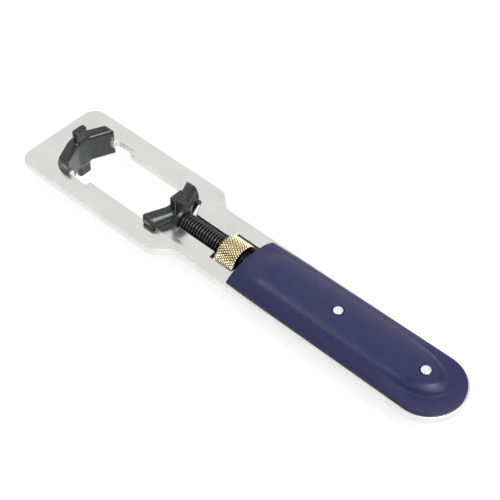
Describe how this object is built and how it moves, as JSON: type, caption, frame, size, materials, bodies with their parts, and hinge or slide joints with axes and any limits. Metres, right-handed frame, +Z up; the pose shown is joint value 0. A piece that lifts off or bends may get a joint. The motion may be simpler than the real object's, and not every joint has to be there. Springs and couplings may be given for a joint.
{
  "type": "case back opener",
  "caption": "Flat steel hand tool whose sliding jaw, moved by a knurled nut on a screw, closes on a fixed jaw to grip the notches of a watch case back.",
  "frame": {"origin": "under the middle of the tool, level with the lower ends of the jaw tips", "axes": "+X from the jaws to the handle end, +Y across the tool, +Z up; the plate lies flat"},
  "size_m": [0.15, 0.0306, 0.0176],
  "materials": {
    "plate_steel": "bright nickel-plated steel",
    "jaw_black": "satin black oxide on a casting",
    "screw_black": "black oxide, bright at the thread crests",
    "nut_brass": "bright turned and knurled brass",
    "grip_plastic": "moulded plastic, smooth hump and grained flange",
    "rivet_aluminium": "satin"
  },
  "bodies": {
    "frame": {"frame_plate": "plate_steel", "fixed_jaw": "jaw_black", "upper_scale": "grip_plastic", "lower_scale": "grip_plastic", "front_rivet": "rivet_aluminium", "rear_rivet": "rivet_aluminium"},
    "jaw": {"moving_jaw": "jaw_black", "lead_screw": "screw_black"},
    "nut": {"adjusting_nut": "nut_brass"}
  },
  "joints": [
    {"name": "jaw_slide", "type": "slide", "parent": "frame", "child": "jaw", "axis": [1, 0, 0], "range_m": [-0.026, 0.002]},
    {"name": "nut_spin", "type": "hinge", "parent": "frame", "child": "nut", "pos_m": [-0.00215, 0, 0.0088], "axis": [1, 0, 0], "range_deg": [-721, 9361]}
  ],
  "couplings": [
    {"joint": "nut_spin", "follows": "jaw_slide", "rad_per_m": -6283.2}
  ]
}
